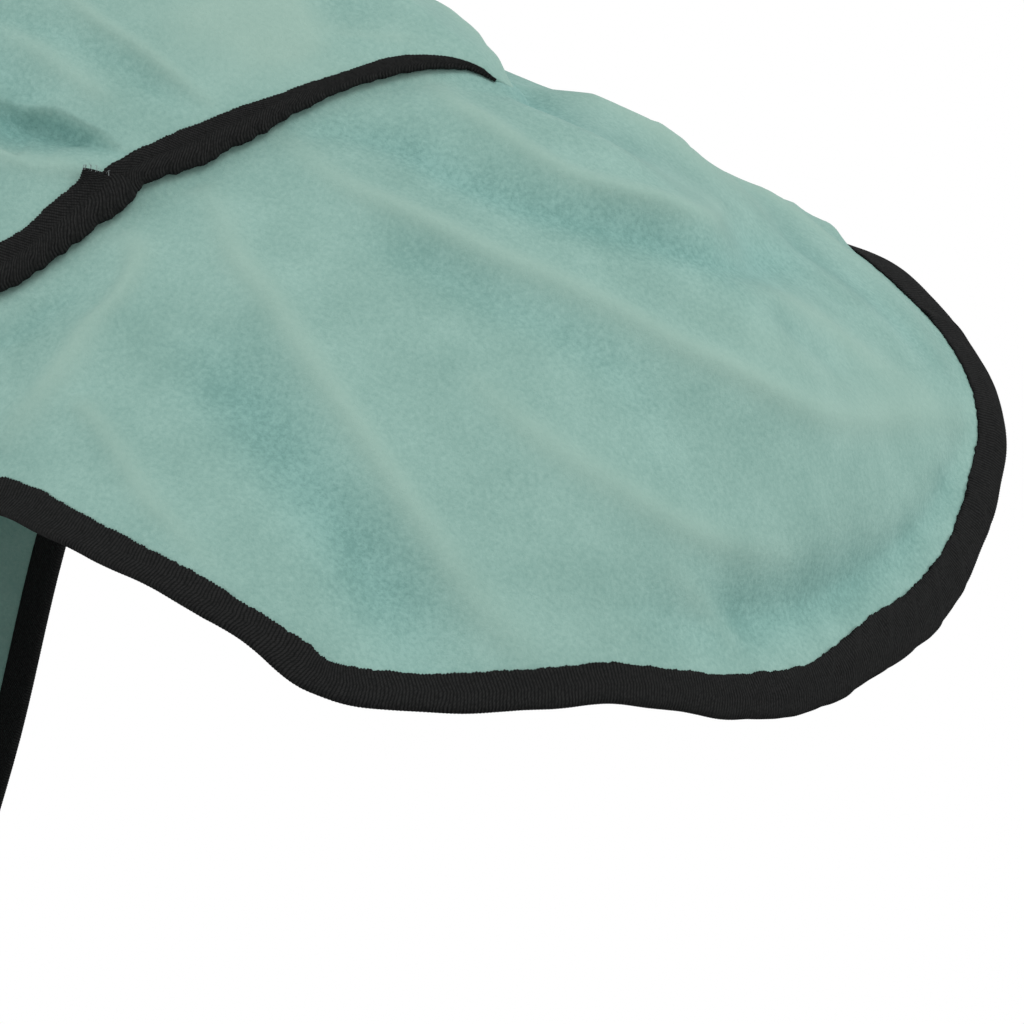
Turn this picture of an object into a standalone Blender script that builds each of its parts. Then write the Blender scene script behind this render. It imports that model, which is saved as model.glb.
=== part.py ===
"""Horse blanket: a fleece rug with a sewn-on tail flap, bound all round with folded tape.

Metres, +Z up.  The tail points along +X and the horse's left side is at -Y.
The origin is on the inner face over the middle of the back, where the rug is carried.
"""
import math

import bpy
import bmesh
import numpy
from mathutils import Vector

# Cloth and tape
CLOTH = 0.0025          # fleece wall
TAPE = 0.0012           # binding tape
SEAM_GAP = 0.0004       # free space between sewn pieces
UNDER_GAP = 0.0009      # free space between the cloth's inner face and the tape's inner leg
END_GAP = 0.0015        # free space where one length of tape stops at another
TAPE_WIDTH = 0.020      # how far the folded tape reaches in from an edge
LEG_SHORT = 0.002       # the tape's leg under the cloth is this much shorter
TUCK = 0.024            # how far the tail flap reaches in under the body's rear edge
FLAP_CLEAR = 0.008      # the flap starts to fall this far past the body's edge

# Number of cells in the sheets
BODY_CELLS = 18         # along the body, from front to rear
SKIRT_CELLS = 9         # across each side below the tail flap's seam
FLAP_CELLS = 36         # round the tail flap's seam
FLAP_RINGS = 14         # from the seam to the flap's free edge
SECTION_STEPS = 48      # points that measure a body section
ROW_STEPS = 60          # points that measure a row of the body, closer together at the chest
NECK_CORNER = 7         # line of the sheet, from the left hem, where neck meets chest
JOIN_CELLS = 10         # lines from the spine to the join in the left rear tape

# Tail head: the middle of the body's rear edge
TAIL_HEAD = Vector((0.70, 0.0, -0.075))
FLAP_SEAM = 0.42        # the flap is sewn to this share of the way down each side
FLAP_LIFT = 0.33        # rise of the flap where it leaves the seam, over the dock

# Two bands close the chest, each between a line of the sheet and the next one up
CHEST_TABS = (
    ("chest_tab_upper", 5),
    ("chest_tab_lower", 2),
)
TAB = 0.002             # thickness of a chest tab

# Half of a chest tab, from the fronts' edge backwards.  cells: place along the sheet,
# lift: height above it, over the edge's tape and then down to the cloth.
TAB_COLUMNS = ("cells", "lift")
TAB_PROFILE = (
    (0.0, 0.0032),
    (1.0, 0.0021),
    (1.12, 0.0012),
    (1.35, 0.0012),
    (1.6, 0.0012),
)

# Body sections from the chest to the tail head.  crest: height of the spine line,
# half: half width, depth: from the crest to the widest level, hem: height of the hem,
# ridge: 1 for an elliptical back, and lower where the spine makes a ridge.
BODY_COLUMNS = ("x", "crest", "half", "depth", "hem", "ridge")
BODY_SECTIONS = (
    (-0.957, -0.150, 0.012, 0.200, -0.700, 0.80),
    (-0.940, -0.132, 0.042, 0.215, -0.722, 0.80),
    (-0.900, -0.092, 0.096, 0.260, -0.755, 0.80),
    (-0.800, -0.020, 0.176, 0.310, -0.785, 0.75),
    (-0.620, 0.050, 0.246, 0.355, -0.800, 0.70),
    (-0.350, 0.020, 0.283, 0.370, -0.800, 0.75),
    (0.000, CLOTH, 0.295, 0.360, -0.790, 0.80),
    (0.300, 0.050, 0.300, 0.330, -0.770, 0.75),
    (0.450, 0.038, 0.300, 0.310, -0.750, 0.67),
    (0.550, 0.006, 0.300, 0.300, -0.750, 0.62),
    (0.620, -0.028, 0.300, 0.300, -0.750, 0.60),
    (0.700, -0.075, 0.300, 0.300, -0.750, 0.60),
)
SKIRT_LEAN = 0.07       # the hanging sides draw in by this much for each metre
SKIRT_LEAN_MOST = 0.2   # and never by more than this share of the half width

# Edges of the body: share of the way from the spine to the hem, and x there
EDGE_COLUMNS = ("share", "x")
REAR_EDGE = (
    (0.00, 0.700),
    (0.03, 0.676),
    (0.06, 0.659),
    (0.10, 0.641),
    (0.15, 0.622),
    (0.20, 0.598),
    (0.25, 0.575),
    (0.30, 0.554),
    (0.36, 0.510),
    (0.44, 0.425),
    (0.54, 0.315),
    (0.66, 0.245),
    (0.85, 0.195),
    (1.00, 0.150),
)
FRONT_EDGE = (
    (0.00, -0.620),
    (0.10, -0.650),
    (0.20, -0.715),
    (0.30, -0.785),
    (0.40, -0.850),
    (0.50, -0.908),
    (0.58, -0.947),
    (0.62, -0.956),
    (0.70, -0.957),
    (0.90, -0.957),
    (1.00, -0.945),
)

# Free edge of the tail flap, from the left end of its seam round the tip to the right
# end.  The places are measured from the tail head.
FLAP_COLUMNS = ("place", "x", "y", "z")
FLAP_EDGE = (
    (-1.00, -0.285, -0.272, -0.203),
    (-0.90, -0.205, -0.288, -0.182),
    (-0.80, -0.115, -0.300, -0.160),
    (-0.70, -0.059, -0.315, -0.161),
    (-0.60, 0.005, -0.318, -0.174),
    (-0.50, 0.070, -0.311, -0.211),
    (-0.40, 0.104, -0.285, -0.226),
    (-0.30, 0.141, -0.245, -0.232),
    (-0.20, 0.174, -0.190, -0.239),
    (-0.10, 0.203, -0.115, -0.266),
    (0.00, 0.215, -0.045, -0.280),
    (0.10, 0.216, 0.040, -0.271),
    (0.20, 0.209, 0.110, -0.259),
    (0.30, 0.198, 0.169, -0.235),
    (0.40, 0.178, 0.209, -0.203),
    (0.50, 0.130, 0.254, -0.176),
    (0.62, 0.068, 0.288, -0.156),
    (0.75, -0.020, 0.306, -0.155),
    (0.88, -0.165, 0.294, -0.176),
    (1.00, -0.285, 0.272, -0.203),
)

# Folds of the tail flap, each a straight ridge (or a trough, where the height is
# negative) between two places.  reach: share of the way from the seam to the tape.
FOLD_COLUMNS = ("place_from", "reach_from", "place_to", "reach_to", "height", "width")
FLAP_FOLDS = (
    (-0.10, 0.05, 0.10, 0.42, 0.004, 0.030),
    (-0.16, 0.35, 0.26, 0.57, -0.004, 0.028),
    (-0.36, 0.08, -0.10, 0.63, 0.004, 0.032),
    (-0.10, 0.63, 0.36, 0.95, 0.004, 0.032),
    (-0.36, 0.42, -0.14, 0.72, -0.004, 0.026),
    (-0.52, 0.10, -0.28, 0.97, 0.005, 0.028),
    (-0.60, 0.68, -0.38, 0.95, -0.004, 0.026),
    (-0.82, 0.86, -0.66, 0.12, 0.004, 0.030),
    (-0.13, 0.92, 0.09, 0.92, -0.008, 0.028),
    (0.32, 0.34, 0.54, 0.60, 0.009, 0.045),
    (0.16, 0.45, 0.34, 0.80, -0.004, 0.028),
    (0.60, 0.20, 0.52, 0.90, 0.004, 0.030),
    (0.74, 0.15, 0.84, 0.80, 0.004, 0.028),
)
PLACE_SPAN = 0.45       # metres round the seam for one unit of place
REACH_SPAN = 0.36       # metres from the seam to the tape for one unit of reach
FOLD_FADE = 0.07        # share of the reach over which folds rise from the seam and the tape


def read_table(columns, rows, name, at):
    """Value of one column at a place, on a smooth curve through the rows."""
    k = columns.index(name)
    last = len(rows) - 1
    at = min(max(at, rows[0][0]), rows[last][0])
    i = 0
    while i < last - 1 and rows[i + 1][0] < at:
        i += 1

    def slope(n):
        low, high = max(n - 1, 0), min(n + 1, last)
        return (rows[high][k] - rows[low][k]) / (rows[high][0] - rows[low][0])

    span = rows[i + 1][0] - rows[i][0]
    f = (at - rows[i][0]) / span
    f2, f3 = f * f, f * f * f
    return ((2 * f3 - 3 * f2 + 1) * rows[i][k] + (f3 - 2 * f2 + f) * span * slope(i)
            + (3 * f2 - 2 * f3) * rows[i + 1][k] + (f3 - f2) * span * slope(i + 1))


def section(x):
    """Half of a body section: points (y, z) from the spine down to the hem."""
    crest, half, depth, hem, ridge = (
        read_table(BODY_COLUMNS, BODY_SECTIONS, name, x) for name in BODY_COLUMNS[1:])
    points = []
    for i in range(SECTION_STEPS + 1):
        angle = math.pi / 2 * i / SECTION_STEPS
        drop = depth * (1 - math.cos(angle)) ** ridge
        points.append((half * math.sin(angle), crest - drop))
    skirt = points[-1][1] - hem
    points.append((half - min(SKIRT_LEAN * skirt, SKIRT_LEAN_MOST * half), hem))
    return points


def body_point(x, share):
    """Point of the body's outer face: share is 0 at the spine and 1 at the right hem."""
    points = section(x)
    lengths = [0.0]
    for (y0, z0), (y1, z1) in zip(points, points[1:]):
        lengths.append(lengths[-1] + math.hypot(y1 - y0, z1 - z0))
    target = abs(share) * lengths[-1]
    i = 0
    while i < len(points) - 2 and lengths[i + 1] < target:
        i += 1
    f = (target - lengths[i]) / (lengths[i + 1] - lengths[i])
    y = points[i][0] + f * (points[i + 1][0] - points[i][0])
    z = points[i][1] + f * (points[i + 1][1] - points[i][1])
    return Vector((x, math.copysign(y, share), z))


def side_shares():
    """Lines of the body sheet from the left hem to the right hem.

    Shares up to 1 reach the inner line of the hem's tape, and 2 is the hem itself.
    """
    half = FLAP_CELLS // 2
    shares = [FLAP_SEAM * i / half for i in range(half + 1)]
    shares += [FLAP_SEAM + (1 - FLAP_SEAM) * i / SKIRT_CELLS for i in range(1, SKIRT_CELLS + 1)]
    shares.append(2.0)
    return [-share for share in reversed(shares[1:])] + shares


def sheet_point(x, share):
    """Body point for a line of the sheet, where shares from 1 to 2 cross the hem's tape."""
    points = section(x)
    length = sum(math.dist(a, b) for a, b in zip(points, points[1:]))
    inner = 1 - TAPE_WIDTH / length
    size = abs(share)
    part = size * inner if size <= 1 else inner + (size - 1) * (1 - inner)
    return body_point(x, math.copysign(part, share))


def edge_x(rows, share):
    return read_table(EDGE_COLUMNS, rows, "x", min(abs(share), 1.0))


def tape_line_x(rows, share, sense):
    """x where the tape's inner line crosses a line of the sheet, TAPE_WIDTH from an edge."""
    step = 0.01
    low, high = max(share - step, -1.0), min(share + step, 1.0)
    along = (sheet_point(edge_x(rows, high), high) - sheet_point(edge_x(rows, low), low)).normalized()
    start = sheet_point(edge_x(rows, share), share)
    reach = TAPE_WIDTH
    for _ in range(12):
        away = sheet_point(edge_x(rows, share) + sense * reach, share) - start
        away -= along * away.dot(along)
        reach *= (TAPE_WIDTH / away.length) ** 0.7
    return edge_x(rows, share) + sense * reach


def body_rows():
    """Rows of the body's outer face: one for each share, with points from front to rear."""
    rows = []
    for share in side_shares():
        first = tape_line_x(FRONT_EDGE, share, 1)
        last = tape_line_x(REAR_EDGE, share, -1)
        trial = [first + (last - first) * (i / ROW_STEPS) ** 1.6 for i in range(ROW_STEPS + 1)]
        points = [sheet_point(x, share) for x in trial]
        lengths = [0.0]
        for a, b in zip(points, points[1:]):
            lengths.append(lengths[-1] + (b - a).length)
        row = [sheet_point(edge_x(FRONT_EDGE, share), share)]
        inner_cells = BODY_CELLS - 2
        for i in range(inner_cells + 1):
            target = lengths[-1] * i / inner_cells
            k = 0
            while k < len(trial) - 2 and lengths[k + 1] < target:
                k += 1
            f = (target - lengths[k]) / (lengths[k + 1] - lengths[k])
            row.append(sheet_point(trial[k] + f * (trial[k + 1] - trial[k]), share))
        row.append(sheet_point(edge_x(REAR_EDGE, share), share))
        rows.append(row)
    return rows


def parallel_directions(pairs, from_inner):
    """For each station of a strip, the moves that carry its facets 1 outwards in parallel."""
    count = len(pairs)
    faces = {(k, side): [] for k in range(count) for side in (0, 1)}
    for k in range(count - 1):
        edge, inner, next_edge, next_inner = (k, 0), (k, 1), (k + 1, 0), (k + 1, 1)
        if from_inner:
            triangles = ((inner, edge, next_edge), (inner, next_edge, next_inner))
        else:
            triangles = ((edge, next_edge, next_inner), (edge, next_inner, inner))
        for triangle in triangles:
            a, b, c = (pairs[i][side] for i, side in triangle)
            normal = (b - a).cross(c - a).normalized()
            for corner in triangle:
                faces[corner].append(tuple(normal))
    moves = []
    for k in range(count):
        found = []
        for side in (0, 1):
            normals = numpy.array(faces[k, side])
            found.append(Vector(numpy.linalg.lstsq(normals, numpy.ones(len(normals)), rcond=0.05)[0]))
        moves.append(tuple(found))
    return moves


def border(rows, side):
    """Stations along an edge of a sheet: edge point, tape line point and their outward moves."""
    if side in ("front", "rear"):
        edge, inner = (0, 1) if side == "front" else (-1, -2)
        pairs = [(row[edge], row[inner]) for row in rows]
    else:
        edge, inner = (0, 1) if side == "left" else (-1, -2)
        pairs = list(zip(rows[edge], rows[inner]))
    if side in ("front", "right"):
        pairs.reverse()             # so that the face beside the edge keeps looking outwards
    moves = parallel_directions(pairs, side in ("front", "rear"))
    return [pair + move for pair, move in zip(pairs, moves)]


def fold_height(place, reach):
    """Height of the tail flap's folds over its smooth form."""
    height = 0.0
    for fold in FLAP_FOLDS:
        row = dict(zip(FOLD_COLUMNS, fold))
        x = (place - row["place_from"]) * PLACE_SPAN
        y = (reach - row["reach_from"]) * REACH_SPAN
        run_x = (row["place_to"] - row["place_from"]) * PLACE_SPAN
        run_y = (row["reach_to"] - row["reach_from"]) * REACH_SPAN
        along = (x * run_x + y * run_y) / (run_x * run_x + run_y * run_y)
        along = min(max(along, 0), 1)
        away = math.hypot(x - along * run_x, y - along * run_y)
        height += row["height"] * math.exp(-(away / row["width"]) ** 2)
    return height * max(min(reach / FOLD_FADE, (1 - reach) / FOLD_FADE, 1), 0)


def flap_rows(body):
    """Rows of the tail flap's outer face: one for each place, from the seam to the edge."""
    half = FLAP_CELLS // 2
    rear = border(body, "rear")
    middle = len(rear) // 2
    depth = CLOTH + UNDER_GAP + TAPE + 2 * SEAM_GAP
    rows = []
    for k in range(-half, half + 1):
        place = k / half
        edge, inner, edge_move, inner_move = rear[middle + k]
        edge, inner = edge - edge_move * depth, inner - inner_move * depth
        heading = (edge - inner).normalized()
        start = edge + heading * FLAP_CLEAR
        end = TAIL_HEAD + Vector([read_table(FLAP_COLUMNS, FLAP_EDGE, name, place)
                                  for name in FLAP_COLUMNS[1:]])
        lift = Vector((0, 0, FLAP_LIFT * (1 - place * place)))
        reach = (heading + lift).normalized() * (end - start).length
        fall = end - start - reach
        end_speed = (reach + 2 * fall).length
        last_inner = 1 - TAPE_WIDTH / end_speed
        row = [inner - heading * (TUCK - TAPE_WIDTH)]
        for i in range(FLAP_RINGS - 1):
            t = last_inner * i / (FLAP_RINGS - 2)
            row.append(start + reach * t + fall * t * t)
        row.append(end)
        rows.append(row)

    folded = [list(row) for row in rows]
    for k in range(1, 2 * half):
        for i in range(2, FLAP_RINGS - 1):
            outwards = (rows[k][i + 1] - rows[k][i - 1]).cross(rows[k + 1][i] - rows[k - 1][i])
            height = fold_height(k / half - 1, (i - 1) / (FLAP_RINGS - 2))
            folded[k][i] += outwards.normalized() * height
    return folded


def sheet_mesh(name, rows, turned=()):
    """Open triangulated sheet through rows of points; turned columns take the other diagonal."""
    bm = bmesh.new()
    verts = [[bm.verts.new(point) for point in row] for row in rows]
    for i in range(len(rows) - 1):
        for j in range(len(rows[0]) - 1):
            a, b = verts[i][j], verts[i][j + 1]
            c, d = verts[i + 1][j + 1], verts[i + 1][j]
            if j in turned:
                bm.faces.new((a, b, d))
                bm.faces.new((b, c, d))
            else:
                bm.faces.new((a, b, c))
                bm.faces.new((a, c, d))
    mesh = bpy.data.meshes.new(name)
    bm.to_mesh(mesh)
    bm.free()
    return mesh


def add_sheet(name, mesh, thickness, offset, material, collection):
    """An object whose sheet is thickened inwards (offset -1) or outwards (offset 1)."""
    item = bpy.data.objects.new(name, mesh)
    collection.objects.link(item)
    item.data.materials.append(material)
    solid = item.modifiers.new("Thickness", "SOLIDIFY")
    solid.thickness = thickness
    solid.offset = offset
    solid.use_even_offset = True
    return item


def between(stations, at):
    """Station at a fractional place along an edge."""
    i = min(int(at), len(stations) - 2)
    f = at - i
    return tuple(a.lerp(b, f) for a, b in zip(stations[i], stations[i + 1]))


def stretch(stations, first, last):
    """The stations from one place to another, each end drawn back from its neighbour's end."""
    def draw_back(at, sense):
        i = min(int(at), len(stations) - 2) if sense > 0 else max(int(at) - 1, 0)
        return at + sense * END_GAP / (stations[i + 1][0] - stations[i][0]).length

    places = [draw_back(first, 1), *range(first + 1, last), draw_back(last, -1)]
    return [between(stations, at) for at in places]


def tape_mesh(name, stations, from_inner):
    """Folded tape round a cloth edge: a channel of two legs joined beyond the edge."""
    under = CLOTH + UNDER_GAP
    rows = []
    for k, (edge, inner, edge_move, inner_move) in enumerate(stations):
        before, after = stations[max(k - 1, 0)][0], stations[min(k + 1, len(stations) - 1)][0]
        out = (after - before).cross(edge_move).normalized()
        side = edge + out * SEAM_GAP
        rows.append([inner + inner_move * SEAM_GAP, side + edge_move * SEAM_GAP,
                     side - edge_move * under, inner - inner_move * under + out * LEG_SHORT])
    return sheet_mesh(name, rows, turned=(2,) if from_inner else (0,))


def tab_side(body, line):
    """Two rows of points from the fronts' edge backwards, lifted off the sheet."""
    stations = border(body, "front")
    rows = []
    for i in (line, line + 1):
        row = body[i]
        edge_move, inner_move = stations[len(body) - 1 - i][2:]
        back, up = row[2] - row[1], body[line + 1][1] - body[line][1]
        past_move = back.cross(up).normalized()
        if past_move.dot(inner_move) < 0:
            past_move.negate()
        points = []
        for cells, lift in TAB_PROFILE:
            k = int(cells)
            move = {0.0: edge_move, 1.0: inner_move}.get(cells, past_move)
            points.append(row[k].lerp(row[k + 1], cells - k) + move * lift)
        rows.append(points)
    return rows


def tab_mesh(name, body, line):
    """Flat band across the closed fronts, from one side of the body to the other."""
    left = tab_side(body, line)
    right = tab_side(body, len(body) - 2 - line)[::-1]
    return sheet_mesh(name, [b[::-1] + a for a, b in zip(left, right)])


def fabric(name, colour, roughness):
    material = bpy.data.materials.new(name)
    material.use_nodes = True
    shader = material.node_tree.nodes["Principled BSDF"]
    shader.inputs["Base Color"].default_value = (*colour, 1)
    shader.inputs["Roughness"].default_value = roughness
    shader.inputs["Metallic"].default_value = 0
    material.diffuse_color = (*colour, 1)
    return material


def main():
    for item in list(bpy.data.objects):
        bpy.data.objects.remove(item, do_unlink=True)
    blanket = bpy.data.collections.new("horse_blanket")
    bpy.context.scene.collection.children.link(blanket)
    fleece = fabric("fleece", (0.29, 0.46, 0.40), 0.95)
    tape = fabric("tape", (0.02, 0.024, 0.022), 0.8)
    body = body_rows()
    add_sheet("body", sheet_mesh("body", body), CLOTH, -1, fleece, blanket)
    flap = flap_rows(body)
    add_sheet("tail_flap", sheet_mesh("tail_flap", flap), CLOTH, -1, fleece, blanket)

    def bind(name, stations, from_inner):
        add_sheet(name, tape_mesh(name, stations, from_inner), TAPE, 1, tape, blanket)

    bind("hem_binding_left", border(body, "left"), False)
    bind("hem_binding_right", border(body, "right"), False)

    last = len(body) - 1
    front = border(body, "front")
    bind("front_binding_right", stretch(front, 1, NECK_CORNER), True)
    bind("neck_binding", stretch(front, NECK_CORNER, last - NECK_CORNER), True)
    bind("front_binding_left", stretch(front, last - NECK_CORNER, last - 1), True)

    rear = border(body, "rear")
    middle = last // 2
    join = middle - JOIN_CELLS
    bind("rear_binding_right", stretch(rear, middle, last - 1), True)
    bind("rear_binding_left_upper", stretch(rear, join, middle), True)
    bind("rear_binding_left_lower", stretch(rear, 1, join), True)

    bind("tail_flap_binding", border(flap, "rear"), True)

    for name, line in CHEST_TABS:
        add_sheet(name, tab_mesh(name, body, line), TAB, 1, tape, blanket)


main()
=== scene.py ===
import math

import bpy
import bmesh
import numpy as np
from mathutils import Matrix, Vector
from mathutils.bvhtree import BVHTree


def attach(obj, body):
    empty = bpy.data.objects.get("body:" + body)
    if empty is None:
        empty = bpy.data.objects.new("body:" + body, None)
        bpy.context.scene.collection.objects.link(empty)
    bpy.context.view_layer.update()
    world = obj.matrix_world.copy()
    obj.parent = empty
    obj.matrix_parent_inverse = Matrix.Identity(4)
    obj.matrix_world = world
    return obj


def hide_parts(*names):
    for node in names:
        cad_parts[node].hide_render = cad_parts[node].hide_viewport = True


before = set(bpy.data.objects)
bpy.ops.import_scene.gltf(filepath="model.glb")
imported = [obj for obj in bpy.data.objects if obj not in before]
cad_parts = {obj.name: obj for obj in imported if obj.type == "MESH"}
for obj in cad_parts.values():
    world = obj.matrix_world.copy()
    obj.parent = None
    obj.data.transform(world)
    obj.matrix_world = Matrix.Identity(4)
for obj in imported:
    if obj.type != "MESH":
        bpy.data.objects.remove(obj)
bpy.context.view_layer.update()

# Metres. The tail is at +X, the near (left) side at -Y, and the origin is under the cloth
# at the middle of the back.

rug = {                         # the rug's own form, in the sizes that the solids are made from
    "cloth": 0.0025,            # fleece thickness
    "tape": 0.020,              # how far the binding reaches in from an edge
    "seamShare": 0.42,          # the tail flap is sewn on down to here on each side
    "tuck": 0.024,              # how far the flap reaches in under the body
    "flapDepth": 0.0054,        # and how far below the body's outer face it lies there
    "flapClear": 0.008,         # the flap starts to fall this far past the body's edge
    "flapLift": 0.33,           # its rise over the dock
    "lean": 0.07,               # the hanging sides draw in by this much for each metre
    "leanMost": 0.2,
    "sectionSteps": 150,
    "neckShare": 0.613,         # the neck's edge ends this far down each front
    "core": (-0.8, 0.62, -0.38),    # a line through the rug's middle: from x, to x, z
}

tailHead = Vector((0.70, 0.0, -0.075))


def table(*rows):  # millimetres, and thousandths where a column holds a share or a place
    return np.array(rows) / 1000


# x, crest height, half width, depth to the widest level, hem height, ridge (1000 is round)
bodySections = table(
    (-957, -150, 12, 200, -700, 800),
    (-940, -132, 42, 215, -722, 800),
    (-900, -92, 96, 260, -755, 800),
    (-800, -20, 176, 310, -785, 750),
    (-620, 50, 246, 355, -800, 700),
    (-350, 20, 283, 370, -800, 750),
    (0, 2.5, 295, 360, -790, 800),
    (300, 50, 300, 330, -770, 750),
    (450, 38, 300, 310, -750, 670),
    (550, 6, 300, 300, -750, 620),
    (620, -28, 300, 300, -750, 600),
    (700, -75, 300, 300, -750, 600),
)
# share of the way from the spine to the hem, x of the edge there
rearEdge = table(
    (0, 697), (30, 671.5), (60, 655), (100, 637.5), (150, 620), (200, 599), (250, 578), (300, 558),
    (360, 514), (440, 427), (540, 315), (660, 245), (850, 195), (1000, 150),
)
frontEdge = table(
    (0, -620), (100, -650), (200, -715), (300, -785), (400, -850), (500, -908), (580, -947), (620, -956),
    (700, -957), (900, -957), (1000, -945),
)
# the cloth runs further back just beyond the spine, on the far (right) side: share, size
farRun = table(
    (0, 0), (6, 4.5), (12, 11), (20, 19.5), (30, 25), (45, 25.5), (60, 20.5), (80, 12.5), (100, 6.2),
    (130, 2), (160, 0), (200, 0),
)
# and it is drawn in on the near side, at the end of the tape and by the tape's lap
nearRun = table(
    (0, 0), (4, -2.2), (9, -3.6), (16, -3), (26, -1), (36, 0), (50, 0), (170, 0), (180, 0), (192, -1),
    (203, -3.2), (213, -5), (222, -5), (230, -2), (240, 0.5), (260, 0),
)
# free edge of the tail flap: place from the left end of its seam (-1000) to the right (1000),
# then x, y, z from the tail head
flapEdge = table(
    (-1000, -285, -272, -203), (-900, -205, -288, -182), (-800, -115, -300, -160), (-700, -59, -315, -161),
    (-600, 5, -318, -174), (-500, 70, -311, -211), (-400, 104, -285, -226), (-300, 141, -245, -232),
    (-200, 174, -190, -239), (-100, 203, -115, -266), (0, 215, -45, -280), (100, 216, 40, -271),
    (200, 209, 110, -259), (300, 198, 169, -235), (400, 178, 209, -203), (500, 130, 254, -176),
    (620, 68, 288, -156), (750, -20, 306, -155), (880, -165, 294, -176), (1000, -285, 272, -203),
)
# small moves of that edge, outwards: place and size
flapEase = table(
    (-1000, 0), (-780, 1), (-700, 2), (-630, 4.5), (-580, 3), (-545, -1), (-515, -2), (-490, 1), (-400, 0),
    (-250, 1.5), (-100, 1), (-30, -2), (20, -3), (55, -1), (90, 3), (130, 4.2), (200, 2), (260, -2),
    (300, -3), (350, -1.5), (420, -0.5), (470, -2), (520, -4), (570, -5), (620, -4.5), (720, -1),
    (1000, 0),
)


def readTable(rows, column, at):  # smooth curve through a table's rows
    xs, ys = rows[:, 0], rows[:, column]
    at = np.clip(at, xs[0], xs[-1])
    i = np.clip(np.searchsorted(xs, at) - 1, 0, len(xs) - 2)
    slopes = np.empty(len(xs))
    slopes[1:-1] = (ys[2:] - ys[:-2]) / (xs[2:] - xs[:-2])
    slopes[0] = (ys[1] - ys[0]) / (xs[1] - xs[0])
    slopes[-1] = (ys[-1] - ys[-2]) / (xs[-1] - xs[-2])
    span = xs[i + 1] - xs[i]
    f = (at - xs[i]) / span
    f2, f3 = f * f, f * f * f
    return ((2 * f3 - 3 * f2 + 1) * ys[i] + (f3 - 2 * f2 + f) * span * slopes[i]
            + (3 * f2 - 2 * f3) * ys[i + 1] + (f3 - f2) * span * slopes[i + 1])


def unit(vectors):
    return vectors / np.maximum(np.linalg.norm(vectors, axis=-1, keepdims=True), 1e-12)


def smoothStep(low, high, value):  # low may be above high, for a step down
    t = np.clip((value - low) / (high - low), 0, 1)
    return t * t * (3 - 2 * t)


def hump(value, centre, width):
    return np.exp(-((value - centre) / width) ** 2)


def fading(distance, reach):
    return np.clip(1 - distance / reach, 0, 1)


def swaying(at, waves):  # each wave has a size and a pace, and is swung by a second one
    return sum(size * np.sin(at * pace + swing * np.sin(at * swingPace))
               for size, pace, swing, swingPace in waves)


def soften(values, times):
    for _ in range(times):
        values[1:-1] = (values[:-2] + 2 * values[1:-1] + values[2:]) / 4
    return values


def fromStart(line):  # distance along a line of points
    return np.concatenate(((0,), np.cumsum(np.linalg.norm(np.diff(line, axis=0), axis=1))))


def readPoints(at, places, points):  # a line of points read at other places
    return np.column_stack([np.interp(at, places, points[:, k]) for k in range(3)])


def runningTotal(steps):  # along each row, from 0
    return np.column_stack((np.zeros(len(steps)), np.cumsum(steps, axis=1)))


def sheetPoints(x, share):  # shares from 1 to 2 cross the hem's tape
    shape = np.broadcast(x, share).shape
    x, share = (np.broadcast_to(values, shape).ravel() for values in (x, share))
    angles = np.linspace(0, math.pi / 2, rug["sectionSteps"])
    crest, half, depth, hem, ridge = (readTable(bodySections, k, x) for k in range(1, 6))
    ys = half[:, None] * np.sin(angles)
    zs = crest[:, None] - depth[:, None] * (1 - np.cos(angles)) ** ridge[:, None]
    leanIn = np.minimum(rug["lean"] * (zs[:, -1] - hem), rug["leanMost"] * half)
    ys = np.column_stack((ys, half - leanIn))
    zs = np.column_stack((zs, hem))
    lengths = runningTotal(np.hypot(np.diff(ys), np.diff(zs)))
    inner = 1 - rug["tape"] / lengths[:, -1]
    size = np.abs(share)
    target = np.where(size <= 1, size * inner, inner + (size - 1) * (1 - inner)) * lengths[:, -1]
    i = np.clip((lengths < target[:, None]).sum(axis=1) - 1, 0, lengths.shape[1] - 2)
    n = np.arange(len(x))
    f = (target - lengths[n, i]) / (lengths[n, i + 1] - lengths[n, i])
    y = ys[n, i] + f * (ys[n, i + 1] - ys[n, i])
    z = zs[n, i] + f * (zs[n, i + 1] - zs[n, i])
    return np.column_stack((x, np.copysign(y, share), z)).reshape(shape + (3,))


def edgeX(rows, share):
    return readTable(rows, 1, np.abs(share))


def rearX(share):
    return edgeX(rearEdge, share) + readTable(farRun, 1, share)


def sheetNormals(points):  # for a grid of points
    return unit(np.cross(np.gradient(points, axis=0), np.gradient(points, axis=1)))


# folds: soft ridges and troughs placed on a sheet

foldShape = {
    "lineSteps": 6,             # points of a fold's line for each place in its table
    "reach": 2.6,               # widths from its line at which a fold ends
    "falloff": 1.7,
    "start": (0.4, 2.6),        # share of its height at its start, and how fast it grows
    "end": (0.3, 2.8),          # and the same from its end
    "narrowing": 1.5,           # how late it narrows
    "foot": 0.62,               # share of a ridge's height in its broad foot
    "crest": 0.45,              # how wide its crisp crest is, in widths
    "ridgeHighlightWidth": 0.52,           # and how wide the painted highlight on a ridge and the painted shade in a trough are
    "troughShadeWidth": 0.95,
    "fullHighlightHeight": 0.005,        # a ridge this high gets the full painted highlight
    # a trough this deep gets the full painted shade, and the painted shade goes no darker than the deepest
    "fullTrough": 0.0065,
    "deepest": -1.4,
}


def smoothLine(places, count):  # places joined by a smooth curve
    rows = np.column_stack((np.arange(len(places)), places))
    at = np.linspace(0, len(places) - 1, count)
    return np.column_stack([readTable(rows, k, at) for k in (1, 2)])


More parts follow.
